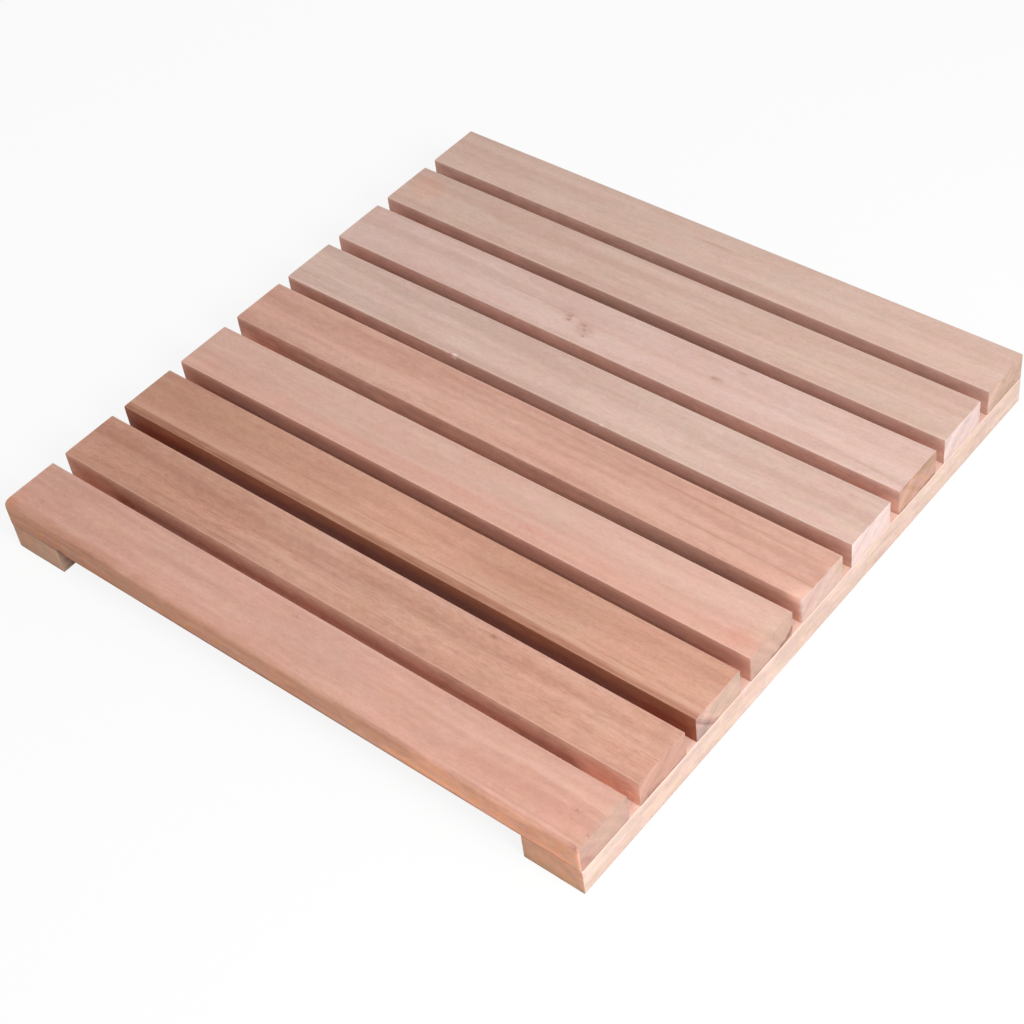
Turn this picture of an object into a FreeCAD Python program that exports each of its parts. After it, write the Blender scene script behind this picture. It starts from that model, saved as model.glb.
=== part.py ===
# Wooden deck tile: nine slats across two runners, stapled together from beneath.
#
# Millimetres, +Z up. The origin is at the middle of the underside. The slats run
# along X, and they follow one another along Y from slat_1 at the front.
# Each board is a body drawn about its own middle, with its underside at its z = 0.
import FreeCAD, Part
import os

import Sketcher

vector = FreeCAD.Vector
document = FreeCAD.newDocument("deck_tile")


# Driving dimensions

SIZES = [
    ("slat_count", 9, "slats side by side"),
    ("slat_length", 500, "slat, end to end"),
    ("slat_width", 46, "slat, across its face"),
    ("slat_thickness", 22, "slat, underside to face"),
    ("slat_gap", 10.75, "drainage gap, which brings nine slats to 500"),
    ("runner_width", 46, "runner, along the slats"),
    ("runner_height", 22, "runner, floor to slats"),
    ("eased_arris", 1.0, "radius sanded on a board's long edges"),
    ("rounded_arris", 4.0, "radius on the front upper edge of slat_1"),
    ("worn_corner", 3.0, "radius of the upright corners knocked round"),
    ("staple_leg", 38, "staple, crown's outer face to its points"),
    ("crown_width", 11, "staple, over its two legs"),
    ("wire_width", 1.6, "staple wire, across the crown"),
    ("wire_thickness", 1.4, "staple wire, the other way"),
    ("point_length", 2.2, "chisel point at the end of each leg"),
    ("crown_sink", 0.5, "crown, below the runner's underside"),
    ("staple_turn", 45, "angle of the crown to the slats, so that it ties both grains"),
    ("pair_spread", 14, "two staples of a crossing, each from its middle"),
    ("wire_clearance", 0.05, "wood round the wire"),
    ("point_clearance", 0.5, "wood beyond the points"),
]

WORKED_OUT = [
    ("pitch", "=slat_width + slat_gap", "from one slat to the next"),
    ("runner_length", "=slat_count * slat_width + (slat_count - 1) * slat_gap",
     "front of the first slat to back of the last"),
    ("runner_spacing", "=slat_length - runner_width", "middle of one runner to the other"),
    ("leg_spread", "=(crown_width - wire_thickness) / 2", "middle of the crown to middle of a leg"),
    ("groove_depth", "=crown_sink + wire_thickness", "runner, underside to the seat of the crown"),
    ("slot_depth", "=crown_sink + staple_leg + point_clearance - runner_height",
     "slat, underside to the end of a leg's slot"),
]


def make_sheet():
    """Write each size with its alias and what it measures."""
    new_sheet = document.addObject("Spreadsheet::Sheet", "sizes")
    for row, (alias, value, meaning) in enumerate(SIZES + WORKED_OUT, start=1):
        new_sheet.set(f"A{row}", str(value))
        new_sheet.setAlias(f"A{row}", alias)
        new_sheet.set(f"B{row}", meaning)
    document.recompute()
    return new_sheet


sheet = make_sheet()


def size(alias):
    """Return the present value of one cell."""
    value = sheet.get(alias)
    return float(getattr(value, "Value", value))


# Helpers

def new_body(name):
    body = document.addObject("PartDesign::Body", name)
    body.Label = name
    return body


def origin_feature(body, role):
    """Return a body's own plane or axis, such as XY_Plane."""
    return next(item for item in body.Origin.OriginFeatures if item.Role == role)


def new_sketch(body, name, plane):
    sketch = body.newObject("Sketcher::SketchObject", f"{body.Name}_{name}")
    sketch.AttachmentSupport = [(origin_feature(body, plane), "")]
    sketch.MapMode = "FlatFace"
    return sketch


def bind(feature, **expressions):
    """Tie properties of a feature to expressions on the sheet's cells."""
    for name, expression in expressions.items():
        feature.setExpression(name, expression)


def place(body, along="0", across="0", up="0"):
    bind(body, **{
        ".Placement.Base.x": along,
        ".Placement.Base.y": across,
        ".Placement.Base.z": up,
    })


def drive(sketch, constraint, expression):
    """Add a constraint whose value follows an expression."""
    index = sketch.addConstraint(constraint)
    sketch.setExpression(f"Constraints[{index}]", expression)


def board_section(sketch, width, thickness, front_radius):
    """Draw a board's section, its underside on the sketch's horizontal axis.

    The first corner is the upper one on the negative side, which has its own radius.
    The other three corners have the eased arris.
    """
    half = size(width) / 2
    top = size(thickness)
    radii = [size(front_radius)] + [size("eased_arris")] * 3
    corners = [(-half, top), (-half, 0), (half, 0), (half, top)]
    names = [front_radius] + ["eased_arris"] * 3
    turns = [(1, -1), (1, 1), (-1, 1), (-1, -1)]

    arcs = []
    for (x, y), radius, (inward_x, inward_y) in zip(corners, radii, turns):
        middle = vector(x + inward_x * radius, y + inward_y * radius, 0)
        on_side = vector(x, middle.y, 0)
        on_level = vector(middle.x, y, 0)
        bulge = middle + vector(-inward_x, -inward_y, 0).normalize() * radius
        ends = (on_level, on_side) if inward_x * inward_y < 0 else (on_side, on_level)
        arcs.append(sketch.addGeometry(Part.Arc(ends[0], bulge, ends[1]), False))

    # Each straight side joins the end of one arc to the start of the next.
    for index, arc in enumerate(arcs):
        following = arcs[(index + 1) % len(arcs)]
        start = sketch.getPoint(arc, 2)
        end = sketch.getPoint(following, 1)
        side = sketch.addGeometry(Part.LineSegment(start, end), False)
        sketch.addConstraint(Sketcher.Constraint("Tangent", arc, 2, side, 1))
        sketch.addConstraint(Sketcher.Constraint("Tangent", side, 2, following, 1))
        direction = "Vertical" if index % 2 == 0 else "Horizontal"
        sketch.addConstraint(Sketcher.Constraint(direction, side))
        drive(sketch, Sketcher.Constraint("Radius", arc, radii[index]), f"sizes.{names[index]}")

    front, under, back, top_side = [arcs[-1] + 1 + index for index in range(4)]
    drive(sketch, Sketcher.Constraint("DistanceX", front, 1, -1, 1, half), f"sizes.{width} / 2")
    drive(sketch, Sketcher.Constraint("DistanceX", -1, 1, back, 1, half), f"sizes.{width} / 2")
    drive(sketch, Sketcher.Constraint("DistanceY", -1, 1, top_side, 1, top), f"sizes.{thickness}")
    sketch.addConstraint(Sketcher.Constraint("PointOnObject", under, 1, -1))


def pad_both_ways(body, sketch, length):
    """Extrude a section by half the length to each side of its plane."""
    pad = body.newObject("PartDesign::Pad", f"{body.Name}_pad")
    pad.Profile = sketch
    pad.SideType = "Symmetric"
    bind(pad, Length=length)
    document.recompute()
    return pad


def draw_rectangle(sketch, along, across, length, breadth):
    """Draw a rectangle by its middle and its two sides, each a pair: value and expression."""
    low_x = along[0] - length[0] / 2
    high_x = along[0] + length[0] / 2
    low_y = across[0] - breadth[0] / 2
    high_y = across[0] + breadth[0] / 2
    corners = [(low_x, low_y), (high_x, low_y), (high_x, high_y), (low_x, high_y)]
    points = [vector(x, y, 0) for x, y in corners]
    lines = [sketch.addGeometry(Part.LineSegment(point, points[(index + 1) % 4]), False)
             for index, point in enumerate(points)]
    for index, line in enumerate(lines):
        sketch.addConstraint(Sketcher.Constraint("Coincident", line, 2, lines[(index + 1) % 4], 1))
        direction = "Horizontal" if index % 2 == 0 else "Vertical"
        sketch.addConstraint(Sketcher.Constraint(direction, line))
    front, right, back, left = lines
    drive(sketch, Sketcher.Constraint("DistanceX", -1, 1, left, 2, low_x),
          f"{along[1]} - ({length[1]}) / 2")
    drive(sketch, Sketcher.Constraint("DistanceX", -1, 1, right, 1, high_x),
          f"{along[1]} + ({length[1]}) / 2")
    drive(sketch, Sketcher.Constraint("DistanceY", -1, 1, front, 1, low_y),
          f"{across[1]} - ({breadth[1]}) / 2")
    drive(sketch, Sketcher.Constraint("DistanceY", -1, 1, back, 1, high_y),
          f"{across[1]} + ({breadth[1]}) / 2")


def crossing_sketch(body, name, along, across):
    """Start a sketch on the board's underside, at one crossing and turned with its staples."""
    sketch = new_sketch(body, name, "XY_Plane")
    turn = FreeCAD.Rotation(vector(0, 0, 1), size("staple_turn"))
    sketch.AttachmentOffset = FreeCAD.Placement(vector(0, 0, 0), turn)
    bind(sketch, **{
        ".AttachmentOffset.Base.x": along,
        ".AttachmentOffset.Base.y": across,
        ".AttachmentOffset.Rotation.Angle": "sizes.staple_turn * 1 deg",
    })
    return sketch


def with_room(alias):
    """Return a wire's size with its clearance on both sides, as value and expression."""
    value = size(alias) + 2 * size("wire_clearance")
    return value, f"sizes.{alias} + 2 * sizes.wire_clearance"


def draw_leg_slots(sketch):
    """Draw the four legs of a crossing's two staples."""
    for staple in (-1, 1):
        across = (staple * size("pair_spread"), f"{staple} * sizes.pair_spread")
        for leg in (-1, 1):
            along = (leg * size("leg_spread"), f"{leg} * sizes.leg_spread")
            draw_rectangle(sketch, along, across, with_room("wire_thickness"),
                           with_room("wire_width"))


def draw_crown_grooves(sketch):
    """Draw the crowns of a crossing's two staples."""
    for staple in (-1, 1):
        across = (staple * size("pair_spread"), f"{staple} * sizes.pair_spread")
        draw_rectangle(sketch, (0, "0"), across, with_room("crown_width"),
                       with_room("wire_width"))


def cut_upwards(body, base, sketch, name, depth=None):
    """Cut a sketch on the underside into the board, right through it if no depth is given."""
    document.recompute()
    pocket = body.newObject("PartDesign::Pocket", f"{body.Name}_{name}")
    pocket.Profile = sketch
    pocket.Reversed = True
    pocket.Type = "ThroughAll" if depth is None else "Length"
    if depth is not None:
        bind(pocket, Length=depth)
    document.recompute()
    if pocket.Shape.Volume > base.Shape.Volume - 1:
        raise RuntimeError(f"{pocket.Label} cut nothing")
    return pocket


def repeat(body, features, name, axis, length, occurrences):
    """Repeat features in a row along one of the body's axes."""
    pattern = body.newObject("PartDesign::LinearPattern", f"{body.Name}_{name}")
    pattern.Originals = features
    pattern.Direction = (origin_feature(body, axis), [""])
    bind(pattern, Length=length, Occurrences=occurrences)
    body.Tip = pattern
    document.recompute()


# Slats

SPECIAL_ARRISES = {1: "rounded_arris"}
WORN_CORNERS = (1, 5)


def wear_corner(body, base):
    """Round the upright corner at the front of the slat's right-hand end."""
    bounds = base.Shape.BoundBox
    for index, edge in enumerate(base.Shape.Edges, start=1):
        middle = edge.CenterOfMass
        upright = edge.BoundBox.ZLength > size("slat_thickness") / 2
        if upright and middle.x > bounds.XMax - 1 and middle.y < bounds.YMin + 1:
            fillet = body.newObject("PartDesign::Fillet", f"{body.Name}_worn_corner")
            fillet.Base = (base, [f"Edge{index}"])
            bind(fillet, Radius="sizes.worn_corner")
            body.Tip = fillet
            document.recompute()
            return fillet
    raise RuntimeError(body.Label + " has no upright corner to round")


def make_slat(number):
    body = new_body(f"slat_{number}")
    arris = SPECIAL_ARRISES.get(number, "eased_arris")
    section = new_sketch(body, "section", "YZ_Plane")
    board_section(section, "slat_width", "slat_thickness", arris)
    board = pad_both_ways(body, section, "sizes.slat_length")
    if number in WORN_CORNERS:
        board = wear_corner(body, board)
    legs = crossing_sketch(body, "legs", "-sizes.runner_spacing / 2", "0")
    draw_leg_slots(legs)
    slots = cut_upwards(body, board, legs, "leg_slots", "sizes.slot_depth")
    repeat(body, [slots], "both_ends", "X_Axis", "sizes.runner_spacing", "2")
    place(body,
          across=f"{number - 1} * sizes.pitch + sizes.slat_width / 2 - sizes.runner_length / 2",
          up="sizes.runner_height")
    return body


# Runners

def make_runner(name, side):
    body = new_body(name)
    section = new_sketch(body, "section", "XZ_Plane")
    board_section(section, "runner_width", "runner_height", "eased_arris")
    board = pad_both_ways(body, section, "sizes.runner_length")
    first_crossing = "-(sizes.slat_count - 1) * sizes.pitch / 2"
    crowns = crossing_sketch(body, "crowns", "0", first_crossing)
    draw_crown_grooves(crowns)
    grooves = cut_upwards(body, board, crowns, "crown_grooves", "sizes.groove_depth")
    legs = crossing_sketch(body, "legs", "0", first_crossing)
    draw_leg_slots(legs)
    slots = cut_upwards(body, grooves, legs, "leg_slots")
    repeat(body, [grooves, slots], "under_each_slat", "Y_Axis",
           "(sizes.slat_count - 1) * sizes.pitch", "sizes.slat_count")
    place(body, along=f"{side} * sizes.runner_spacing / 2")
    return body


# Staples

def make_staple():
    """Bend one staple from flat wire: its crown along X, and its legs up with chisel points."""
    body = new_body("staple")
    sketch = new_sketch(body, "bent_wire", "XZ_Plane")
    outer = size("crown_width") / 2
    inner = outer - size("wire_thickness")
    crown = size("crown_sink")
    seat = size("groove_depth")
    tip = crown + size("staple_leg")
    shoulder = tip - size("point_length")
    corners = [(-outer, crown), (outer, crown), (outer, tip), (inner, shoulder),
               (inner, seat), (-inner, seat), (-inner, shoulder), (-outer, tip)]
    points = [vector(x, y, 0) for x, y in corners]
    lines = [sketch.addGeometry(Part.LineSegment(point, points[(index + 1) % len(points)]), False)
             for index, point in enumerate(points)]
    for index, line in enumerate(lines):
        following = lines[(index + 1) % len(lines)]
        sketch.addConstraint(Sketcher.Constraint("Coincident", line, 2, following, 1))
    for index, line in enumerate(lines):
        x, y = corners[index]
        across = f"sizes.crown_width / 2 - {int(abs(x) == inner)} * sizes.wire_thickness"
        sign = "-" if x < 0 else ""
        drive(sketch, Sketcher.Constraint("DistanceX", -1, 1, line, 1, x), f"{sign}({across})")
        height = {crown: "sizes.crown_sink",
                  seat: "sizes.groove_depth",
                  tip: "sizes.crown_sink + sizes.staple_leg",
                  shoulder: "sizes.crown_sink + sizes.staple_leg - sizes.point_length"}[y]
        drive(sketch, Sketcher.Constraint("DistanceY", -1, 1, line, 1, y), height)
    pad_both_ways(body, sketch, "sizes.wire_width")
    return body


def make_staples(staple):
    """Drive a copy of the staple at each place, as one group of separate solids."""
    turn = FreeCAD.Rotation(vector(0, 0, 1), size("staple_turn"))
    middle_slat = (size("slat_count") - 1) / 2
    copies = []
    for runner in (-1, 1):
        for slat in range(round(size("slat_count"))):
            crossing = vector(runner * size("runner_spacing") / 2,
                              (slat - middle_slat) * size("pitch"), 0)
            for side in (-1, 1):
                offset = turn.multVec(vector(0, side * size("pair_spread"), 0))
                copy = staple.Shape.copy()
                copy.Placement = FreeCAD.Placement(crossing + offset, turn)
                copies.append(copy)
    group = document.addObject("Part::Feature", "staples")
    group.Label = "staples"
    group.Shape = Part.makeCompound(copies)
    group.Placement = FreeCAD.Placement()
    return group


# Assembly and export

slats = [make_slat(number) for number in range(1, round(size("slat_count")) + 1)]
runners = [make_runner("runner_left", -1), make_runner("runner_right", 1)]
staples = make_staples(make_staple())
pieces = slats + runners + [staples]
document.recompute()

for item in document.Objects:
    if "Invalid" in item.State or "Error" in item.State:
        raise RuntimeError(f"{item.Label} failed: {item.State}")
for piece in pieces:
    if piece.Shape.isNull() or not piece.Shape.isValid():
        raise RuntimeError(f"{piece.Label} has no valid shape")

os.makedirs("parts", exist_ok=True)
for piece in pieces:
    piece.Shape.exportStep(f"parts/{piece.Label}.step")
    print(piece.Label, len(piece.Shape.Solids), "solids", round(piece.Shape.Volume), "mm3")
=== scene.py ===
"""Slatted deck tile in planed hardwood: its boards, staples, finishes and stage."""

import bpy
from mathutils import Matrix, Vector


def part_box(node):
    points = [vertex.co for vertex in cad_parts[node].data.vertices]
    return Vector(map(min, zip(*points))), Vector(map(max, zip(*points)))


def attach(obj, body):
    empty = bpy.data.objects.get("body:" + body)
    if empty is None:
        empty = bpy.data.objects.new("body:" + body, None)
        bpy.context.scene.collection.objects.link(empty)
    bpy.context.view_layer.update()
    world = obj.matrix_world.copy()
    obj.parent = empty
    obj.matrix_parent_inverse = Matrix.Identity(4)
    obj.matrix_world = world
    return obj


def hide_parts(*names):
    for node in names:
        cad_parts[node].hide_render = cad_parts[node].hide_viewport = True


bl_info = {
    "name": "Slatted Deck Tile",
    "version": (1, 0, 0),
    "blender": (4, 5, 0),
    "location": "View3D > Sidebar > Deck Tile",
    "description": "Builds the planed boards and staples of a slatted deck tile",
    "category": "Object",
}

import math

import bmesh
import bpy
from mathutils import Vector

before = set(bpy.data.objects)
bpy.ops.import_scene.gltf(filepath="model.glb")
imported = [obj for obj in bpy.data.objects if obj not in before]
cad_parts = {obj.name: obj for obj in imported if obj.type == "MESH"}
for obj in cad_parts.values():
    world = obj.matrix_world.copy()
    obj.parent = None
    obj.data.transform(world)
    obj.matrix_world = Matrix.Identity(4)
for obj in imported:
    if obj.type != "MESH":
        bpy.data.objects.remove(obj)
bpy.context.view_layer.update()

MM = 0.001
SAME_PLACE = 0.01 * MM
STRAIGHT = 0.99
LEANING = 0.8
SLAT_COUNT = sum(name.startswith("slat_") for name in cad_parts)

# Boards: the cuts of their mesh, then the length and width of each kind of hollow
CUTS_ACROSS = 7
CUTS_UP = 3
FACE_HOLLOWS = (180 * MM, 28 * MM)
ARRIS_WEAR = (60 * MM, 12 * MM)
FINE_WEAR = (8 * MM, 4 * MM)
TORN_END = (2 * MM, 2 * MM)
SMOOTH_ANGLE = math.radians(32)
KNOCK_SLOPE = 0.7
KNOCK_CATCH = 0.4 * MM
WORN_SLATS = (1, 5)
WORN_BACK_SLAT = 4
WORN_BACK = 2.5 * MM
SKEWED_SLAT = 5
SKEW = math.radians(-0.17)
SKEW_PIVOT = 250 * MM

# Staples, with the sizes of the solids
CROWN_WIDTH = 11 * MM
WIRE_WIDTH = 1.6 * MM
WIRE_THICKNESS = 1.4 * MM
CROWN_SINK = 0.5 * MM
CROWN_TOP = CROWN_SINK + WIRE_THICKNESS
CROWN_BEND = 0.9 * MM
WIRE_EDGE = 0.15 * MM
LEG_LENGTH = 38 * MM
POINT_LENGTH = 2.2 * MM
POINT_TAPER = 0.12
PAIR_SPREAD = 14 * MM
STAPLE_TURN = math.radians(45)
GROOVE_PLAY = 0.1 * MM

# Stage
FLOOR_DROP = 0.2 * MM
FLOOR_GLOW = 0.88
LAMP_PLACE = (1.58, -0.34, 1.12)
LAMP_TARGET = (0.0, 0.0, 0.02)
LAMP_SIZE = 0.8
CAMERA_PLACE = (0.7182, -0.7256, 1.0016)
CAMERA_TURN = (43.974, 5.079, 38.361)
CAMERA_SHIFT = (-0.0427, 0.0043)
SENSOR_WIDTH = 36.0


# Settings

def length(name, description, value):
    """A length that the sidebar shows in the scene's unit."""
    return bpy.props.FloatProperty(
        name=name, description=description, default=value, min=0.0, precision=5, unit="LENGTH")


def share(name, description, value, most=1.0):
    """A plain factor."""
    return bpy.props.FloatProperty(
        name=name, description=description, default=value, min=0.0, max=most, subtype="FACTOR")


def colour(name, description, value):
    """A colour, linear."""
    return bpy.props.FloatVectorProperty(
        name=name, description=description, default=value, size=3, min=0.0, max=1.0,
        subtype="COLOR")


class DeckTileBoards(bpy.types.PropertyGroup):
    """Sizes that shape the boards and their edges."""

    arris: length("Eased Arris", "Width of the upper arrises, eased by hand", 0.8 * MM)
    lower_arris: length("Lower Arris", "Width of the slats' lower arrises", 0.5 * MM)
    rounded_arris: length("Rounded Arris", "Front upper arris of the first slat", 4.0 * MM)
    worn_corner: length("Worn Corner", "Radius of the knocked upright corners", 3.0 * MM)
    end_arris: length("End Arris", "Width of the edges round a sawn end", 0.4 * MM)
    section: length("Section", "Spacing of the sections along a board", 4.0 * MM)
    unevenness: length("Unevenness", "Depth of the planed faces' hollows", 0.12 * MM)
    wear: length("Wear", "Depth of the wear along the arrises", 0.3 * MM)
    tear_out: length("Tear-out", "Depth of the saw's tear-out on the ends", 0.4 * MM)


class DeckTileFinish(bpy.types.PropertyGroup):
    """Colours and strengths of the hardwood and the wire."""

    pale: colour("Pale Hardwood", "Colour of the pale slats", (0.66, 0.475, 0.395))
    rose: colour("Rose Hardwood", "Colour of the rose slats", (0.67, 0.40, 0.315))
    brown: colour("Brown Hardwood", "Colour of the brown slats", (0.62, 0.345, 0.258))
    runner: colour("Runner Hardwood", "Colour of the runners", (0.545, 0.40, 0.335))
    wire: colour("Galvanised Wire", "Colour of the staples", (0.60, 0.61, 0.62))
    grain: share("Grain", "Strength of the grain's streaks", 1.0, 3.0)
    pores: share("Pores", "Strength of the open pores", 1.0, 3.0)
    roughness: share("Roughness", "Roughness of the planed wood", 0.62)


class DeckTileStage(bpy.types.PropertyGroup):
    """Floor, light and camera."""

    floor_size: length("Floor Size", "Side of the floor", 12.0)
    floor_colour: colour("Floor Colour", "Colour of the floor", (0.88, 0.88, 0.88))
    key_power: bpy.props.FloatProperty(
        name="Key Power", description="Power of the large lamp on the right", default=38.0,
        min=0.0, unit="POWER")
    sky: share("Sky", "Strength of the soft light from all round", 0.46, 2.0)
    lens: bpy.props.FloatProperty(
        name="Lens", description="Focal length of the camera", default=71.684, min=1.0,
        unit="CAMERA")


# Modelling by hand

def clear_selection():
    """Leaves edit mode and selects nothing."""
    if bpy.context.object and bpy.context.object.mode != "OBJECT":
        bpy.ops.object.mode_set(mode="OBJECT")
    bpy.ops.object.select_all(action="DESELECT")


def take(piece):
    """Selects one piece alone."""
    clear_selection()
    bpy.context.view_layer.objects.active = piece
    piece.select_set(True)


def add_block(name, low, high):
    """A block between two corners, with its place in its mesh."""
    clear_selection()
    bpy.ops.mesh.primitive_cube_add(size=1.0, location=(low + high) / 2)
    block = bpy.context.object
    block.name = block.data.name = name
    bpy.ops.transform.resize(value=high - low)
    bpy.ops.object.transform_apply(location=True, rotation=True, scale=True)
    return block


def edit(piece, mode="EDGE"):
    """Opens the piece's mesh with nothing selected."""
    take(piece)
    bpy.ops.object.mode_set(mode="EDIT")
    bpy.ops.mesh.select_mode(type=mode)
    bpy.ops.mesh.select_all(action="DESELECT")


def pick(piece, items, wanted):
    """Selects the vertices, edges or faces that pass the test."""
    bpy.ops.mesh.select_all(action="DESELECT")
    mesh = bmesh.from_edit_mesh(piece.data)
    mesh.normal_update()
    found = [item for item in getattr(mesh, items) if wanted(item)]
    for item in found:
        item.select_set(True)
    bmesh.update_edit_mesh(piece.data)
    return len(found)


def runs_along(edge, axis):
    """Whether the edge runs along one axis."""
    step = edge.verts[1].co - edge.verts[0].co
    return abs(step[axis]) > STRAIGHT * step.length


def middle(edge):
    """The edge's middle."""
    return (edge.verts[0].co + edge.verts[1].co) / 2


def close(a, b):
    """Whether two places agree."""
    return abs(a - b) < SAME_PLACE


def turn_mesh(piece, angle, centre):
    """Turns the piece's whole mesh about the vertical through one place."""
    edit(piece)
    bpy.ops.mesh.select_all(action="SELECT")
    bpy.ops.transform.rotate(value=-angle, orient_axis="Z", center_override=centre)
    bpy.ops.object.mode_set(mode="OBJECT")


def join(pieces):
    """Makes one piece of several."""
    clear_selection()
    for piece in pieces:
        piece.select_set(True)
    bpy.context.view_layer.objects.active = pieces[0]
    bpy.ops.object.join()
    return bpy.context.object


def cut_sections(piece, axis, cuts):
    """Divides every edge that runs along one axis."""
    pick(piece, "edges", lambda edge: runs_along(edge, axis))
    bpy.ops.mesh.subdivide(number_cuts=cuts)


def ease_arris(piece, grain, corner, width, segments):
    """Bevels the long arris at one corner of the section."""
    across = 1 - grain

    def on_arris(edge):
        spot = middle(edge)
        return (runs_along(edge, grain) and close(spot[across], corner[0])
                and close(spot[2], corner[1]))

    if not pick(piece, "edges", on_arris):
        raise RuntimeError(piece.name + " has no arris at " + str(corner))
    bpy.ops.mesh.bevel(offset=width, segments=segments, profile=0.5, affect="EDGES")


def round_upright(piece, corner, radius):
    """Rounds the upright edge at one corner of the plan."""
    pick(piece, "edges", lambda edge: runs_along(edge, 2) and close(middle(edge).x, corner[0])
         and close(middle(edge).y, corner[1]))
    bpy.ops.mesh.bevel(offset=radius, segments=5, profile=0.5, affect="EDGES")


def ease_ends(piece, grain, width):
    """Bevels the edges round both sawn ends."""

    def round_end(edge):
        slopes = [abs(face.normal[grain]) for face in edge.link_faces]
        return max(slopes) > STRAIGHT and min(slopes) < LEANING

    pick(piece, "edges", round_end)
    bpy.ops.mesh.bevel(offset=width, segments=1, affect="EDGES")


def weigh(piece, name, weight):
    """A vertex group whose weights come from the vertex's place."""
    group = piece.vertex_groups.new(name=name)
    for vertex in piece.data.vertices:
        amount = weight(vertex.co)
        if amount > 0:
            group.add([vertex.index], amount, "REPLACE")


def hollow(piece, group, depth, grain_length, width, grain):
    """Presses soft, uneven hollows into part of the piece, longer with the grain."""
    take(piece)
    bpy.ops.object.empty_add()
    ruler = bpy.context.object
    stretch = [1.0, 1.0, 1.0]
    stretch[grain] = grain_length / width
    ruler.scale = stretch
    bpy.context.view_layer.update()
    cloud = bpy.data.textures.new("Hollows", "CLOUDS")
    cloud.noise_scale = width
    cloud.noise_depth = 2
    take(piece)
    press = piece.modifiers.new("Hollows", "DISPLACE")
    press.texture = cloud
    press.texture_coords = "OBJECT"
    press.texture_coords_object = ruler
    press.strength = depth
    press.mid_level = 1.0
    press.vertex_group = group
    bpy.ops.object.modifier_apply(modifier=press.name)
    bpy.data.textures.remove(cloud)
    bpy.data.objects.remove(ruler)


def knock(piece, centre, high, x, y, depth, reach):
    """Blunts the top's edge at a place given from its middle, in millimetres."""
    spot = Vector((centre.x + x * MM, centre.y + y * MM, high.z))
    half = high - centre
    inward = Vector((0, 0, -KNOCK_SLOPE))
    if abs(abs(x * MM) - half.x) < MM:
        inward.x = -math.copysign(KNOCK_SLOPE, x)
    if abs(abs(y * MM) - half.y) < MM:
        inward.y = -math.copysign(KNOCK_SLOPE, y)
    edit(piece, "VERT")
    nearest = min((vertex.co - spot).length for vertex in bmesh.from_edit_mesh(piece.data).verts)
    pick(piece, "verts", lambda vertex: (vertex.co - spot).length < nearest + KNOCK_CATCH)
    bpy.ops.transform.translate(
        value=inward * depth * MM, use_proportional_edit=True,
        proportional_edit_falloff="SMOOTH", proportional_size=reach * MM)
    bpy.ops.object.mode_set(mode="OBJECT")


def make_board(name, grain, arrises, corners=()):
    """A planed board with eased arrises, sawn ends and a slightly uneven face."""
    sizes = bpy.context.scene.deck_tile_boards
    low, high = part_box(name)
    across = 1 - grain
    board = add_block(name + "_board", low, high)
    edit(board)
    cut_sections(board, across, CUTS_ACROSS)
    cut_sections(board, 2, CUTS_UP)
    cut_sections(board, grain, round((high - low)[grain] / sizes.section) - 1)
    for corner in corners:
        round_upright(board, corner, sizes.worn_corner)

    def arris_place(side, level):
        return (low, high)[side][across], (low, high)[level][2]

    for side, level, width, segments in arrises:
        ease_arris(board, grain, arris_place(side, level), width, segments)
    ease_ends(board, grain, sizes.end_arris)
    bpy.ops.object.mode_set(mode="OBJECT")

    def on_an_arris(spot):
        best = 0.0
        for side, level, width, segments in arrises:
            place = arris_place(side, level)
            gap = max(abs(spot[across] - place[0]), abs(spot[2] - place[1]))
            if level == 1 and gap < width * 1.05:
                best = max(best, min(1.0, width / sizes.rounded_arris + 0.3))
        return best

    def on_an_end(spot):
        return float(min(spot[grain] - low[grain], high[grain] - spot[grain]) < 0.05 * MM)

    weigh(board, "arrises", on_an_arris)
    weigh(board, "ends", on_an_end)
    hollow(board, "", sizes.unevenness, *FACE_HOLLOWS, grain)
    hollow(board, "arrises", sizes.wear, *ARRIS_WEAR, grain)
    hollow(board, "arrises", sizes.wear / 2, *FINE_WEAR, grain)
    hollow(board, "ends", sizes.tear_out, *TORN_END, grain)
    return board


def settle(piece, body, node):
    """Smooths the piece's shading, gives it its body and hides the part it stands for."""
    take(piece)
    bpy.ops.object.shade_smooth_by_angle(angle=SMOOTH_ANGLE)
    piece.vertex_groups.clear()
    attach(piece, body)
    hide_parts(node)


# Finishes

class Socket:
    """A value in a finish. Arithmetic on it adds Math nodes."""

    def __init__(self, finish, socket):
        self.finish = finish
        self.socket = socket

    def maths(self, operation, *inputs):
        return self.finish.node("Math", {"operation": operation}, dict(enumerate(inputs)))

    def __add__(self, other):
        return self.maths("ADD", self, other)

    __radd__ = __add__

    def __sub__(self, other):
        return self.maths("SUBTRACT", self, other)

    def __rsub__(self, other):
        return self.maths("SUBTRACT", other, self)

    def __mul__(self, other):
        return self.maths("MULTIPLY", self, other)

    def __truediv__(self, other):
        return self.maths("DIVIDE", self, other)

    def __abs__(self):
        return self.maths("ABSOLUTE", self)

    def clipped(self):
        """The value held between 0 and 1."""
        return self.finish.node("Clamp", {}, {"Value": self})

    def most(self, other):
        """The larger of two values."""
        return self.maths("MAXIMUM", self, other)

    def rise(self, start, end):
        """0 below start and 1 above end, with a soft change between."""
        return self.finish.node(
            "MapRange", {"interpolation_type": "SMOOTHSTEP"},
            {"Value": self, "From Min": start, "From Max": end})

    def fall(self, start, end):
        """1 below start and 0 above end."""
        return 1 - self.rise(start, end)


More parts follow.
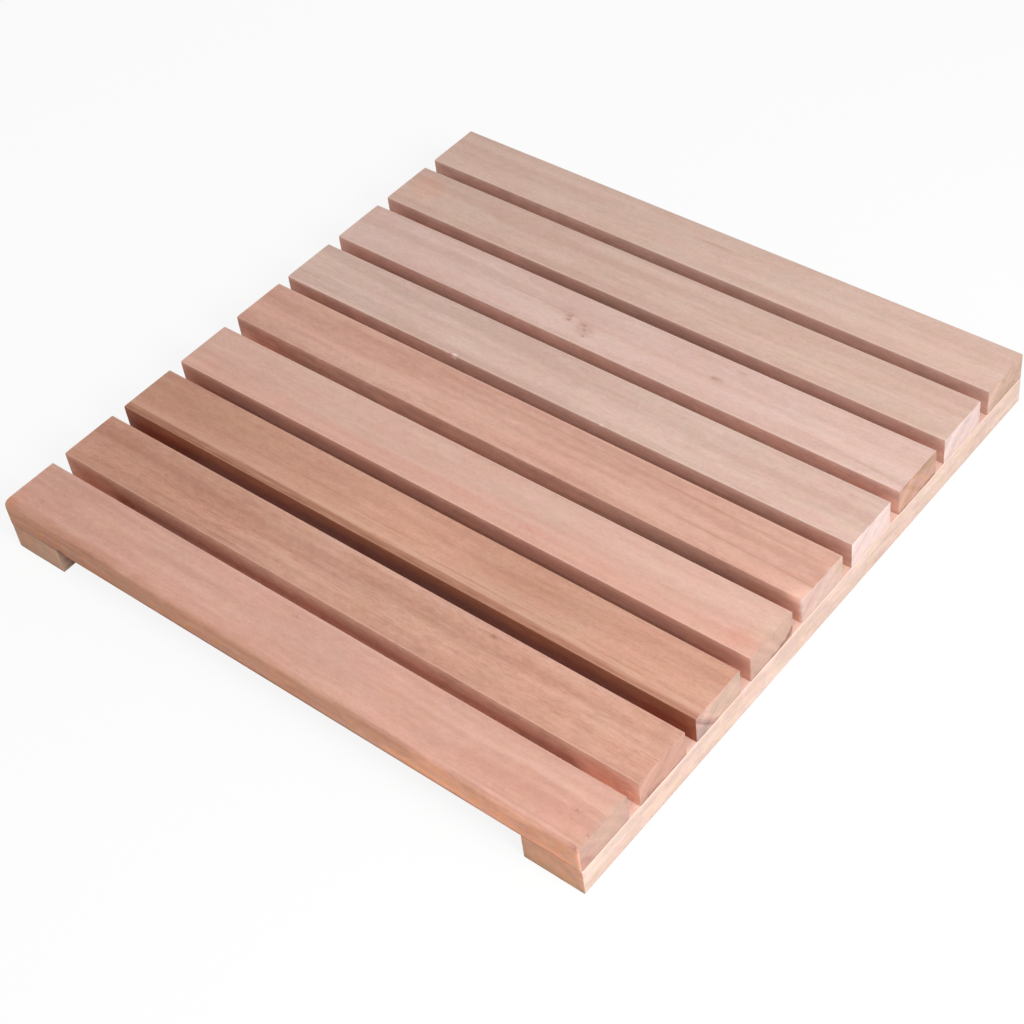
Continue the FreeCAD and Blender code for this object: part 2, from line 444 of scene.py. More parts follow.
class Finish:
    """The nodes of a new material or world, put together one by one."""

    def __init__(self, owner):
        owner.use_nodes = True
        self.owner = owner
        self.tree = owner.node_tree
        self.tree.nodes.clear()

    def node(self, kind, settings=None, inputs=None, output=0):
        """Adds a node, sets it, feeds its sockets and returns one of its outputs."""
        made = self.tree.nodes.new("ShaderNode" + kind)
        for key, value in (settings or {}).items():
            setattr(made, key, value)
        for key, value in (inputs or {}).items():
            if isinstance(value, Socket):
                self.tree.links.new(value.socket, made.inputs[key])
            else:
                made.inputs[key].default_value = value
        return Socket(self, made.outputs[output]) if len(made.outputs) else None

    def outputs(self, kind, inputs=None):
        """Adds a node and returns all of its outputs by name."""
        made = self.node(kind, {}, inputs).socket.node
        return {socket.name: Socket(self, socket) for socket in made.outputs}

    def vectors(self, operation, *inputs, output=0):
        """A sum, product or length of vectors."""
        return self.node(
            "VectorMath", {"operation": operation}, dict(enumerate(inputs)), output)

    def noise(self, place, detail, roughness, output=0):
        """Even noise at a scale that the place already holds."""
        return self.node(
            "TexNoise", {},
            {"Vector": place, "Scale": 1.0, "Detail": detail, "Roughness": roughness}, output)

    def grain(self, place, along, section, roughness=0.5, detail=2.0, output=0):
        """Noise scaled one way along the grain and another across it."""
        scaled = self.vectors("MULTIPLY", place, (along, section, section))
        return self.noise(scaled, detail, roughness, output)

    def drift(self, place, along, section, detail):
        """Noise in all three directions, about zero."""
        noise = self.grain(place, along, section, 0.5, detail, 1)
        return self.vectors("SUBTRACT", noise, (0.5, 0.5, 0.5))

    def distance(self, offset, scale):
        """The length of an offset after scaling."""
        return self.vectors("LENGTH", self.vectors("MULTIPLY", offset, scale), output=1)

    def spread(self, spot, place, radii, unevenness):
        """1 at a place, falling to 0 past the radii, with an uneven rim."""
        offset = self.vectors("SUBTRACT", spot, place)
        reach = self.distance(offset, tuple(1.0 / radius for radius in radii))
        return (reach + unevenness).fall(0.35, 1.2)

    def mix(self, factor, first, second, blend="MIX"):
        """Two colours mixed, or the first one blended with the second."""
        return self.node(
            "Mix", {"data_type": "RGBA", "blend_type": blend}, {0: factor, 6: first, 7: second}, 2)

    def tint(self, factor, paint, change):
        """A colour multiplied by a tint, as far as the factor says."""
        return self.mix(factor, paint, (*change, 1.0), "MULTIPLY")

    def end(self, surface, kind="OutputMaterial"):
        """Joins the shader to the output of the material or world."""
        self.node(kind, {}, {"Surface": surface})
        return self.owner


def rgba(tone, light=1.0):
    """A linear colour with full cover, made lighter or darker."""
    return tuple(min(1.0, part * light) for part in tone) + (1.0,)


def tinted(tone, tint):
    """A colour made lighter, darker or warmer, part by part."""
    return tuple(part * change for part, change in zip(tone, tint))


# Depths of the patches in millimetres, and steps between the boards' places in the noise
TOP_DEPTH = 6.0
ALL_ALONG = 1e5
FRONT_PLACES = (-175.0, 0.0, 175.0)
FRONT_HEIGHT = -2.0
FRONT_RADII = (110.0, 4.0, 13.0)
SLAT_SEED = 1.37
RUNNER_SEED = 20.0

# A look's lists, in millimetres from the board's middle: x along it, y across it and z up.
# knots: x, y, size. lines: start, end, y, slope, width, strength, below 0 for a pale one.
# patches: place, radii, tint. top_patches: x, y, two radii, tint, on the upper face.
# end_patches: y, z, two radii, tint. end_lines: y, z, slope, curve, width, tint.
# sink: heights where the gap's shade starts and is full, tint, half its length.
# fronts: factors for the left, middle and right of the front, partly the wood's tone and partly
# painted light, as on the first slat, whose front is painted lighter towards the lamp on the right.
# rub: strength of the paler upper arrises, partly wear and partly painted highlight.
# seam: strength of a dark line painted along the foot of the ends, a painted shadow.
PLAIN_LOOK = {
    "tint": (1, 1, 1), "side": (1.12, 0.9, 0.83), "side_reach": (0.75, 0.97),
    "end": (0.7, 0.7, 0.7), "contrast": 0.1, "bands": 0.7, "streaks": 0.9, "dashes": 0.14,
    "flecks": 0.12, "speckle": 1, "mottle": 0.65, "pith": (60, -90), "lean": 0.012, "spacing": 9,
    "glow": 0.35, "heart": None, "lines": (), "knots": (), "patches": (), "stains": 0.3,
    "end_patches": (), "end_lines": (), "end_rings": 0.6, "seam_shadow": 0.1, "seed": 0, "sink": None,
    "front_tone_and_light": (), "arris_wear_and_highlight_strength": 1, "sawn_reach": (0.6, 0.85), "stain_size": (0.06, 0.1), "fibres": 0.28,
    "top_patches": (),
}


def hardwood(name, tone, place, turn, half, look):
    """Planed hardwood whose rings, streaks and pores run through the board.

    Place is the board's middle and turn the way its grain points, both in the object's own
    coordinates. Half is half its section in millimetres. The look sets the board apart.
    """
    settings = bpy.context.scene.deck_tile_finish
    look = {**PLAIN_LOOK, **look}
    wood = Finish(bpy.data.materials.new(name))
    own = wood.node("TexCoord", output=3)
    spot = wood.node(
        "Mapping", {"vector_type": "TEXTURE"},
        {"Vector": own, "Location": place, "Rotation": (0, 0, turn), "Scale": (MM, MM, MM)})
    along, across, up = wood.outputs("SeparateXYZ", {0: spot}).values()

    # The grain wanders a little, and bulges round the knots
    origin = (look["seed"] * 700.0, look["seed"] * 31.0, 0.0)
    seeded = wood.vectors("ADD", spot, origin)
    wander = wood.drift(seeded, 0.008, 0.035, 1.0)
    bent = wood.vectors("ADD", seeded, wood.vectors("MULTIPLY", wander, (0.0, 9.0, 9.0)))
    ragged = wood.drift(seeded, 0.35, 0.6, 2.0)
    bulge, knot_core, knot_rim = 0.0, 0.0, 0.0
    for x, y, size in look["knots"]:
        offset = wood.vectors("SUBTRACT", spot, (x, y, half[1]))
        offset = wood.vectors("ADD", offset, wood.vectors("MULTIPLY", ragged, (9.0, 5.0, 0.0)))
        reach = wood.distance(offset, (0.55 / size, 1.0 / size, 0.3 / size))
        knot_core = reach.fall(0.2, 1.2) + knot_core
        knot_rim = reach.fall(0.6, 2.4) + knot_rim
        bulge = reach.fall(0.3, 4.0) * (size * 1.6) + bulge

    # Growth rings round the pith
    pith_y, pith_z = look["pith"]
    centred = wood.node(
        "Mapping", {"vector_type": "TEXTURE"},
        {"Vector": bent, "Location": (origin[0], pith_y + origin[1], pith_z),
         "Rotation": (0, 0, look["lean"])})
    radius = wood.distance(centred, (0.0, 1.0, 1.0)) + bulge
    ring = wood.node(
        "TexNoise", {"noise_dimensions": "1D"},
        {"W": radius / look["spacing"], "Scale": 1.0, "Detail": 2.5, "Roughness": 0.55})

    # Soft streaks, narrow dashes, fibres, speckles and short open pores
    streak = wood.grain(bent, 0.005, 0.15)
    narrow = wood.grain(bent, 0.018, 0.75, 0.6)
    fibre = wood.grain(bent, 0.10, 1.1, 0.6)
    speckle = wood.grain(bent, 0.34, 0.80, 0.65)
    pore = wood.grain(bent, 0.10, 1.0, 0.6)
    patch = wood.grain(seeded, 0.014, 0.05)
    cloud = wood.grain(seeded, 0.05, 0.12, 0.55)
    figure = wood.grain(bent, 0.11, 0.24, 0.55)
    stain = wood.grain(seeded, *look["stain_size"], 0.5, 1.0)
    ember = wood.grain(seeded, 0.11, 0.16, 0.5, 1.0)
    open_pore = (pore + (patch - 0.5) * 0.25).rise(0.54, 0.66)

    # End grain and the two narrow sides are told apart by the way they face
    facing = wood.outputs("SeparateXYZ", {0: wood.node("TexCoord", output=1)})
    with_grain, over_grain = ("Y", "X") if turn > 1 else ("X", "Y")
    sawn = abs(facing[with_grain]).rise(*look["sawn_reach"])
    edge_on = abs(facing[over_grain]).rise(*look["side_reach"])

    base = tinted(tone, look["tint"])
    contrast = look["contrast"] * settings.grain
    deep = tinted(base, (1 - contrast * 1.1, 1 - contrast * 1.5, 1 - contrast * 1.6))
    pale = tinted(base, (1 + contrast * 0.8, 1 + contrast * 1.0, 1 + contrast * 1.1))
    dark = tinted(base, (0.70, 0.58, 0.53))
    level = (0.5 + (ring - 0.5) * (2.0 * look["bands"]) + (streak - 0.5) * (2.2 * look["streaks"])
             + (fibre - 0.5) * look["fibres"] + (narrow - 0.5) * 0.20 + (figure - 0.5) * 1.15)
    paint = wood.mix(level.clipped(), rgba(deep), rgba(pale))
    for factor, change in (
            (patch.rise(0.38, 0.62) * look["mottle"], (0.99, 0.925, 0.92)),
            (cloud.rise(0.42, 0.62) * look["mottle"], (0.96, 0.99, 0.96)),
            (stain.rise(0.48, 0.62) * look["stains"], (1.0, 0.98, 0.90)),
            (stain.fall(0.38, 0.50) * look["stains"], (1.0, 0.94, 0.945))):
        paint = wood.tint(factor, paint, change)
    grit = (speckle - 0.5) * (0.28 * look["speckle"]) + 1.0
    grit = wood.node("CombineXYZ", {}, {0: grit, 1: grit, 2: grit})
    paint = wood.mix(1.0, paint, grit, "MULTIPLY")
    if look["heart"]:
        heart_tone, near, far, amount = look["heart"]
        inner = (radius + (streak - 0.5) * 12.0).fall(near, far)
        paint = wood.tint(inner * amount, paint, heart_tone)
    paint = wood.mix(narrow.rise(0.54, 0.72) * look["dashes"], paint, rgba(dark))
    paint = wood.mix(open_pore * (look["flecks"] * settings.pores), paint, rgba(dark))

    # Lines of darker or lighter grain that the board carries
    light = tinted(pale, (1.06, 1.12, 1.12))
    for start, end, y, slope, width, strength in look["lines"]:
        drift = across - along * slope + (streak - 0.5) * 3.0
        line = abs(drift - y).fall(width * 0.35, width)
        reach = along.rise(start - 25.0, start + 12.0) * along.fall(end - 12.0, end + 25.0)
        above = up.rise(half[1] - 7.0, half[1] - 2.0)
        paint = wood.mix(line * reach * above * narrow.rise(0.25, 0.6) * abs(strength), paint,
                         rgba(dark if strength > 0 else light))
    if look["knots"]:
        paint = wood.mix(knot_rim.clipped() * 0.25, paint, rgba(dark))
        knot_tone = tinted(base, (0.42, 0.36, 0.34))
        paint = wood.mix(knot_core.clipped() * 0.52, paint, rgba(knot_tone))

    # Narrow sides: their own tint, blotches, the shade of the gap, and warm and pink glows
    paint = wood.tint(edge_on, paint, look["side"])
    paint = wood.tint(edge_on * cloud.rise(0.42, 0.62) * 0.6, paint, (0.88, 0.86, 0.89))
    if look["sink"]:
        start, end, change, reach = look["sink"]
        sunk = edge_on * up.fall(end, start) * abs(along).fall(reach, reach + 16.0)
        paint = wood.tint(sunk, paint, change)
    low_down = up.fall(0.0, 8.0) * look["glow"]
    paint = wood.tint(edge_on * ember.rise(0.52, 0.66) * low_down, paint, (1.08, 0.94, 0.74))
    paint = wood.tint(edge_on * ember.fall(0.34, 0.46) * low_down, paint, (1.06, 0.90, 0.90))

    # Patches: place, radii and tint. Those of the top and the front have set depths
    patches = [((x, y, half[1]), (reach, width, TOP_DEPTH), change)
               for x, y, reach, width, change in look["top_patches"]]
    patches += look["patches"]
    # The front's factors paint its tone and part of its light along its length
    patches += [((x, -half[0], FRONT_HEIGHT), FRONT_RADII, (factor,) * 3)
                for x, factor in zip(FRONT_PLACES, look["front_tone_and_light"])]
    unevenness = (cloud - 0.5) * 1.1 + (fibre - 0.5) * 0.5
    for centre, radii, change in patches:
        paint = wood.tint(wood.spread(spot, centre, radii, unevenness), paint, change)

    # Upper arrises are paler: partly wear, partly a painted highlight where the eased arris catches
    # the light
    edge_gap = (half[0] - abs(across)) + (half[1] - up)
    arris_wear_and_highlight = edge_gap.fall(0.8, 1.9) * (0.25 + streak * 0.5) * look["arris_wear_and_highlight_strength"]
    paint = wood.mix(arris_wear_and_highlight, paint, rgba(tinted(pale, (1.05, 1.05, 1.05))))

    # Sawn ends: rings, oblique saw strokes, blotches and a painted shadow line along the foot
    stroke = wood.noise(
        wood.node("Mapping", {"vector_type": "POINT"},
                  {"Vector": seeded, "Rotation": (0.5, 0, 0), "Scale": (0.2, 0.12, 1.3)}), 2.0, 0.6)
    blotch = wood.noise(wood.vectors("MULTIPLY", seeded, (0.2, 0.16, 0.22)), 3.0, 0.6)
    dots = wood.noise(wood.vectors("MULTIPLY", seeded, (0.5, 1.3, 1.3)), 2.0, 0.6)
    end_tone = tinted(base, look["end"])
    end_level = (0.5 + (ring - 0.5) * (2.4 * look["end_rings"]) + (stroke - 0.5) * 0.9
                 + (blotch - 0.5) * 1.3 + (dots - 0.5) * 0.5)
    end_pale = (*tinted(end_tone, (1.14, 1.14, 1.14)), 1.0)
    end_paint = wood.mix(end_level.clipped(), rgba(end_tone, 0.82), end_pale)
    end_paint = wood.tint(blotch.rise(0.45, 0.62) * 0.8, end_paint, (1.0, 0.955, 0.94))
    rim = (blotch - 0.5) * 1.2
    for y, z, width, height, change in look["end_patches"]:
        reach = wood.spread(spot, (0.0, y, z), (ALL_ALONG, width, height), rim)
        end_paint = wood.tint(reach, end_paint, change)
    for y, z, slope, curve, width, change in look["end_lines"]:
        step = across - y
        drift = (up - z) - step * slope - step * step * curve + rim
        end_paint = wood.tint(abs(drift).fall(width * 0.3, width), end_paint, change)
    # Painted shadow: a dark line along the foot of the end, where the board sits on what is below
    # it
    seam_shadow = (up + (blotch - 0.5) * 1.8).fall(0.7 - half[1], 1.6 - half[1])
    end_paint = wood.tint(seam_shadow * look["seam_shadow"], end_paint, (0.30, 0.20, 0.17))
    torn = sawn + (blotch + dots - 1.0) * 2.2 * sawn * (1 - sawn)
    paint = wood.mix(torn.clipped(), paint, end_paint)

    relief = ((fibre * 0.45 + streak * 0.3 + speckle * 0.2 - open_pore * 0.5) * (1 - sawn)
              + sawn * (stroke * 0.9 + dots * 0.8 + ring * 0.4))
    bumps = wood.node("Bump", {}, {"Strength": 0.5, "Distance": 0.22 * MM, "Height": relief})
    gloss = settings.roughness + (fibre - 0.5) * 0.18 + open_pore * 0.1 + sawn * 0.15
    return wood.end(wood.node(
        "BsdfPrincipled", {},
        {"Base Color": paint, "Roughness": gloss, "Normal": bumps, "Specular IOR Level": 0.22}))


def galvanised(tone):
    """Zinc-coated wire with a cloudy, slightly scratched skin."""
    wire = Finish(bpy.data.materials.new("Galvanised Wire"))
    own = wire.node("TexCoord", output=3)
    cloudy = wire.noise(wire.vectors("MULTIPLY", own, (900.0, 900.0, 900.0)), 3.0, 0.6)
    scratch = wire.noise(wire.vectors("MULTIPLY", own, (4000.0, 4000.0, 350.0)), 2.0, 0.6)
    paint = wire.mix(cloudy.rise(0.35, 0.65), rgba(tone, 0.72), rgba(tone, 1.1))
    bumps = wire.node(
        "Bump", {}, {"Strength": 0.3, "Distance": 0.05 * MM, "Height": scratch + cloudy * 0.5})
    return wire.end(wire.node(
        "BsdfPrincipled", {},
        {"Base Color": paint, "Metallic": 1.0, "Roughness": 0.32 + cloudy * 0.25,
         "Normal": bumps}))


def dress(piece, material):
    """Gives the piece one material."""
    piece.data.materials.clear()
    piece.data.materials.append(material)


# Each slat's own looks: places in millimetres from the board's middle, back and right positive
SLAT_LOOKS = {
    1: {
        "front_tone_and_light": (0.82, 0.94, 1.17), "tint": (0.992, 0.953, 0.965), "side": (1.02, 0.94, 0.78),
        "end": (0.62, 0.69, 0.705), "contrast": 0.08, "bands": 0.6, "streaks": 1.2, "glow": 1,
        "pith": (-70, -60), "heart": ((0.99, 0.9, 0.86), 82, 106, 0.3), "flecks": 0.05,
        "dashes": 0.08, "knots": ((231.5, -1, 1.3), (248, -11.7, 0.9), (-8, 15, 1)),
        "lines": ((90, 250, -19.6, 0, 1, -0.35), (60, 250, -21.7, 0, 0.9, 0.5)),
        "end_patches": ((-18, -6, 8, 8, (0.94, 0.82, 0.8)), (4, 2, 14, 9, (1.06, 1.08, 1.02))),
        "top_patches": (
            (-190, -20, 90, 5, (0.84, 0.77, 0.7)), (-180, 3.5, 55, 3.5, (1.1, 1.17, 1.15)),
            (10, 21.5, 150, 3, (1.05, 1.09, 1.12)), (15, 2, 60, 20, (0.93, 0.93, 0.93))),
        "patches": (
            ((-165, -23, -8), (38, 6, 4), (1.03, 0.93, 0.82)),
            ((-95, -23, -7), (22, 6, 3), (1.03, 0.94, 0.84)),
            ((5, -23, -9), (45, 6, 3), (1.02, 0.95, 0.84)),
            ((125, -23, -8), (30, 6, 3), (1.03, 0.94, 0.84)),
            ((212, -23, -9), (24, 6, 3), (1.02, 0.95, 0.86)),
            ((-247, -18, 9), (8, 6, 8), (1.03, 0.94, 0.88)),
            # Painted light: these two make the front lighter towards its right end, nearer the lamp
            ((200, -23, 9), (110, 3.5, 5), (1.07, 1.07, 1.06)),
            ((230, -23, 0), (130, 5, 30), (1.05, 1.06, 1.06)),
            # Painted shade: these two paint a dark line along the lower edge of the front
            ((0, -23, -11), (300, 3, 3.4), (0.62, 0.6, 0.62)),
            ((0, -23, -11.5), (300, 3, 2.2), (0.66, 0.66, 0.7)),
            ((-199, -23, -10), (4, 3, 3), (0.7, 0.58, 0.54)),
            ((10, -21.5, 11), (140, 2.6, 5), (0.96, 0.93, 0.88)),
            ((250, 0, 11), (5, 30, 4), (0.97, 1.06, 1.04))),
    },
    2: {
        "front_tone_and_light": (0.91, 1.05, 1.09), "tint": (0.957, 0.974, 0.966), "side": (1.5, 1.54, 1.55),
        "end": (0.72, 0.72, 0.75), "sink": (6, -6, (0.66, 0.46, 0.42), 196), "contrast": 0.12,
        "flecks": 0.35, "dashes": 0.22, "speckle": 1.1, "knots": ((107.5, 16, 1.7),), "seam_shadow": 0.8,
        "end_patches": ((0, 0, 12, 6, (1, 0.99, 0.94)), (-12, -8, 9, 3, (0.85, 0.8, 0.78))),
        "lines": (
            (-104, -94, -19.2, 0, 1.2, 0.8), (-140, -110, 9, 0.02, 2.6, 0.35),
            (8, 30, 6, 0.03, 2.8, 0.35), (44, 84, 5, -0.02, 2.6, 0.35)),
        "top_patches": (
            (-110, 20, 140, 5, (1.12, 1.18, 1.21)), (110, 21, 140, 4, (1.07, 1.11, 1.15)),
            (0, -19, 70, 5, (1.11, 1.15, 1.17)), (0, -2, 70, 7, (0.93, 0.91, 0.91))),
        "patches": (
            ((-210, 0, 11), (150, 60, 40), (0.92, 0.86, 0.83)),
            ((210, 0, 11), (120, 60, 40), (1.04, 1.02, 1.03))),
    },
    3: {
        "front_tone_and_light": (1.17, 0.86, 1.12), "tint": (0.974, 0.963, 0.936), "side": (0.645, 0.42, 0.31),
        "end": (0.75, 0.868, 0.97), "sink": (7, -2, (0.64, 0.48, 0.46), 240), "contrast": 0.08,
        "bands": 0.8, "flecks": 0.22, "dashes": 0.2, "speckle": 1.2, "arris_wear_and_highlight_strength": 0.25, "end_rings": 0.5,
        "lines": (
            (-250, 250, -20.4, -0.003, 4, 0.75), (-250, 250, -18.9, -0.004, 1.5, 0.6),
            (-60, 250, -21.6, -0.001, 0.8, -0.35), (-250, 250, -15.2, -0.002, 2.8, -0.7),
            (34, 80, -12.2, 0, 1.1, 0.45), (70, 130, -9.8, -0.006, 1.2, -0.4),
            (166, 192, -13.4, 0, 0.9, 0.5), (-85, -20, -1.4, 0.01, 1.2, 0.3),
            (-40, 10, -6.4, 0.008, 1.1, 0.3), (150, 205, -4.6, -0.02, 1.1, 0.25),
            (-230, -150, -11.8, 0, 1, -0.4), (-120, 0, -8.4, 0.006, 1.3, -0.35)),
        "top_patches": (
            (-100, -19.5, 230, 3, (0.87, 0.84, 0.79)), (-170, 10, 80, 5, (1.05, 1.1, 1.08)),
            (112, 0, 56, 20, (0.92, 0.93, 0.93)), (0, 2, 56, 20, (1.08, 1.07, 1.07))),
        "patches": (
            ((0, -22.8, 11), (600, 3, 1.4), (0.76, 0.69, 0.63)),
            ((105, 5, 11), (42, 14, 12), (1, 0.93, 0.92)),
            ((-215, 0, 11), (110, 60, 40), (0.92, 0.9, 0.88))),
        "end_patches": (
            (-21, -7, 14, 10, (0.72, 0.78, 0.84)), (9, 1, 20, 12, (1, 1.1, 1.06)),
            (20, 8, 7, 6, (0.88, 0.95, 0.92))),
        "end_lines": (
            (-22.5, 9.5, -1.35, 0.0155, 4.5, (0.8, 0.76, 0.79)),
            (-22.5, 8.5, -1.35, 0.0155, 1.6, (0.84, 0.8, 0.82)),
            (-17, 11, -1.35, 0.0155, 2.2, (1.08, 1.08, 1.08)),
            (-6, 11, -1.3, 0.0155, 1.8, (0.95, 0.97, 0.95))),
    },
    4: {
        "front_tone_and_light": (0.91, 0.95, 0.99), "tint": (1.038, 1.113, 1.162), "side": (1.08, 0.91, 0.84),
        "sink": (-1, -4.5, (0.74, 0.64, 0.6), 225), "end": (0.59, 0.595, 0.585), "contrast": 0.06,
        "bands": 0.5, "flecks": 0.05, "dashes": 0.1, "pith": (-60, -40),
        "heart": ((0.99, 0.88, 0.85), 62, 80, 0.9), "seam_shadow": 0.4,
        "top_patches": ((-80, -12.5, 210, 4.5, (0.97, 0.91, 0.91)),),
        "patches": (
            ((234, -14, 11), (10, 9, 8), (1, 0.93, 0.91)),
            ((246, 4, 11), (12, 16, 8), (0.98, 1.03, 1.01))),
        "end_patches": (
            # The first four end patches are painted shadow: a dark curve along the foot of the end,
            # under the worn back corner, where the end lifts off the runner
            (6, -9.9, 12, 1.4, (0.68, 0.6, 0.56)), (14, -8.4, 7, 1.8, (0.62, 0.53, 0.48)),
            (18.5, -6.2, 4.5, 2.2, (0.58, 0.49, 0.44)), (21.5, -3.2, 2.6, 3.4, (0.68, 0.6, 0.54)),
            (4, 3, 20, 10, (1.06, 1.06, 1.03))),
    },
    5: {
        "front_tone_and_light": (1.15, 1.08, 0.86), "tint": (0.984, 0.962, 0.96), "side": (1.02, 0.99, 0.95),
        "end": (0.775, 0.925, 1.02), "sink": (1, -2.5, (0.82, 0.76, 0.74), 225),
        "sawn_reach": (0.25, 0.5), "bands": 1, "lean": -0.025,
        "lines": ((-60, 250, 14, -0.012, 1.8, 0.5), (120, 250, -2, -0.03, 1.2, 0.4)),
        "end_patches": ((19, 4, 6, 9, (0.92, 0.94, 0.84)), (-12, 3, 8, 8, (1, 0.95, 0.96))),
        "top_patches": (
            (0, 16, 70, 4, (1.05, 1.09, 1.09)), (180, -14, 70, 4, (0.95, 0.92, 0.91)),
            (-170, -2, 90, 3, (0.94, 0.9, 0.89))),
        "patches": (
            ((-150, -15, 11), (110, 6, 3), (1.09, 1.15, 1.17)),
            ((-10, -20.5, 11), (80, 4, 2), (1.12, 1.21, 1.24)),
            ((250, 8, 11), (4, 7, 5), (1.02, 1.12, 1.1)),
            ((250, -14, 11), (4, 5, 5), (1.03, 1.12, 1.12)),
            ((247, -3, 11), (6, 5, 5), (0.98, 0.92, 0.93))),
    },
    6: {
        "front_tone_and_light": (1.13, 0.95, 0.92), "tint": (1.024, 1.011, 1.034), "side": (0.955, 0.77, 0.71),
        "end": (0.88, 0.965, 1.055), "sink": (2, -1.2, (0.84, 0.78, 0.76), 225), "contrast": 0.08,
        "bands": 1.1, "lean": -0.03, "flecks": 0.08,
        "top_patches": (
            (-170, -1, 90, 6, (0.96, 0.92, 0.92)), (-170, -15, 90, 4, (1.05, 1.08, 1.09)),
            (170, -17, 80, 6, (0.93, 0.88, 0.88))),
        "patches": (
            # Pale chips on the front arris: paler fresh wood, lifted further as a painted highlight
            # where the chip catches the light
            ((-85, -22.5, 9.6), (3.2, 2.4, 3), (1.42, 1.7, 1.85)),
            ((48, -22.5, 10), (2.4, 1.8, 2.2), (1.3, 1.45, 1.5))),
    },
    7: {
        "front_tone_and_light": (0.95, 1, 1.08), "tint": (1.065, 1.032, 1.085), "side": (0.965, 0.79, 0.72),
        "end": (0.61, 0.52, 0.45), "seam_shadow": 0.8, "sink": (2.5, -0.5, (0.86, 0.82, 0.8), 225),
        "contrast": 0.06, "flecks": 0.06, "top_patches": ((-170, 17, 90, 7, (1.05, 1.08, 1.09)),),
        "lines": ((-110, -45, 2, 0, 1.2, 0.4), (170, 250, 3, -0.08, 1.2, 0.35)),
        "end_lines": ((-6, 0, -1, 0, 3, (0.9, 0.88, 0.8)), (6, 0, -1, 0, 3, (1.08, 1.04, 0.96))),
        "knots": (
            (-40.5, -0.8, 1.5), (-38.8, -4.2, 1.5), (-22.5, -7.8, 1), (-18.5, -13.2, 0.8),
            (-26, -3.6, 0.9), (86.5, 0.9, 1.2)),
        "patches": (
            ((-23, -7, 11), (9, 8, 4), (0.88, 0.83, 0.81)),
            ((-45, 2, 11), (10, 5, 4), (0.92, 0.88, 0.87)),
            ((88, 1, 11), (8, 3.5, 3), (0.9, 0.85, 0.83)),
            ((100, 15.7, 11), (6, 1.6, 3), (0.9, 0.84, 0.82))),
        "end_patches": (
            (2, 11, 26, 3.5, (0.86, 0.86, 0.78)), (14, 6, 10, 6, (0.84, 0.88, 0.8)),
            (14, -10, 9, 3, (0.74, 0.7, 0.68)), (-12, -3, 9, 6, (1.03, 0.96, 0.92))),
    },
    8: {
        "front_tone_and_light": (1.12, 0.86, 1.05), "tint": (1.004, 0.978, 0.984), "side": (0.9, 0.755, 0.73),
        "end": (0.855, 0.935, 1.045), "sink": (4, 0.2, (0.84, 0.79, 0.77), 225), "contrast": 0.065,
        "flecks": 0.08, "patches": (((-231, 2, 11), (17, 18, 10), (1.03, 0.95, 0.9)),),
        "lines": ((-50, 250, -7, 0, 1.6, 0.2),),
    },
    9: {
        "front_tone_and_light": (1.12, 0.97, 1), "tint": (1.03, 1.019, 1.031), "side": (0.89, 0.75, 0.725),
        "end": (0.68, 0.645, 0.62), "sink": (4.5, 1.2, (0.9, 0.86, 0.84), 225), "contrast": 0.055,
        "flecks": 0.08, "lines": ((-2, 12, 7.5, 0, 2.2, 0.8),), "seam_shadow": 0.5,
        "end_lines": ((2, 0, -1, 0, 3, (0.92, 0.92, 0.86)),),
        "end_patches": (
            (0, -8, 14, 6, (0.86, 0.86, 0.78)), (14, 2, 9, 12, (0.9, 0.9, 0.84)),
            (-16, 5, 8, 8, (1.06, 1.04, 1.04))),
    },
}
RUNNER_LOOK = {
    # The tint lightens the whole runner, partly as painted light on its top where the gaps' feet
    # show; the side and end tints take most of it back on those faces
    "tint": (1.27, 1.165, 1.18), "side": (0.826, 0.944, 0.953), "side_reach": (0.25, 0.6),
    "end": (0.866, 0.73, 0.56), "contrast": 0.07, "pith": (10, -25), "spacing": 6, "stains": 0.9,
    "glow": 0, "stain_size": (0.13, 0.2), "end_rings": 0.5, "seam_shadow": 0,
    "end_patches": (
        (0, 7, 40, 9, (1.04, 0.99, 0.99)), (0, -9, 40, 3, (0.92, 0.93, 0.86)),
        # The patch at -11.2 is painted contact shadow: a dark line along the foot of the end, where
        # the runner stands on the floor
        (0, -11.2, 60, 1.6, (0.62, 0.6, 0.6)), (-8, -5, 7, 3, (1.06, 1, 0.84)),
        (11, -2, 5, 4, (1.05, 0.98, 0.9))),
}
RUNNER_OWN_LOOKS = {
    "runner_left": {
        "end": (0.818, 0.748, 0.622),
        "end_patches": (
            # The patch at -11.2 is painted contact shadow along the foot of the end
            (12, 2, 14, 12, (1.06, 0.92, 0.86)), (0, -11.2, 60, 1.8, (0.62, 0.6, 0.6)),
            (-14, 4, 7, 6, (1.05, 1, 0.96))),
        "patches": (
            # Painted shade on the inner face of the runner, beneath the first slat, near the front
            # end
            ((-223, -23, 5), (23, 4, 40), (0.27, 0.18, 0.12)),
            ((-248, -23, 0), (60, 4, 40), (0.8, 0.72, 0.64))),
    },
    "runner_right": {
        "end": (0.895, 0.725, 0.556),
    },
}
# Where the slats are knocked: place from the middle of the top, then depth and reach
KNOCKS = {
    1: ((250, -23, 0.9, 6), (250, 11, 0.5, 4)),
    3: ((250, -9, 0.6, 4), (250, 14, 0.7, 5)),
    5: ((250, -23, 2.8, 9), (250, -8, 0.8, 5), (250, 9, 1.0, 5)),
    6: ((-85, -23, 1.1, 3.5), (48, -23, 0.7, 3)),
    8: ((250, -23, 0.7, 4),),
    9: ((250, -2, 0.6, 4),),
}
WOODS = {1: "rose", 2: "brown", 3: "brown", 4: "rose", 5: "rose", 6: "pale", 7: "pale",
         8: "pale", 9: "pale"}


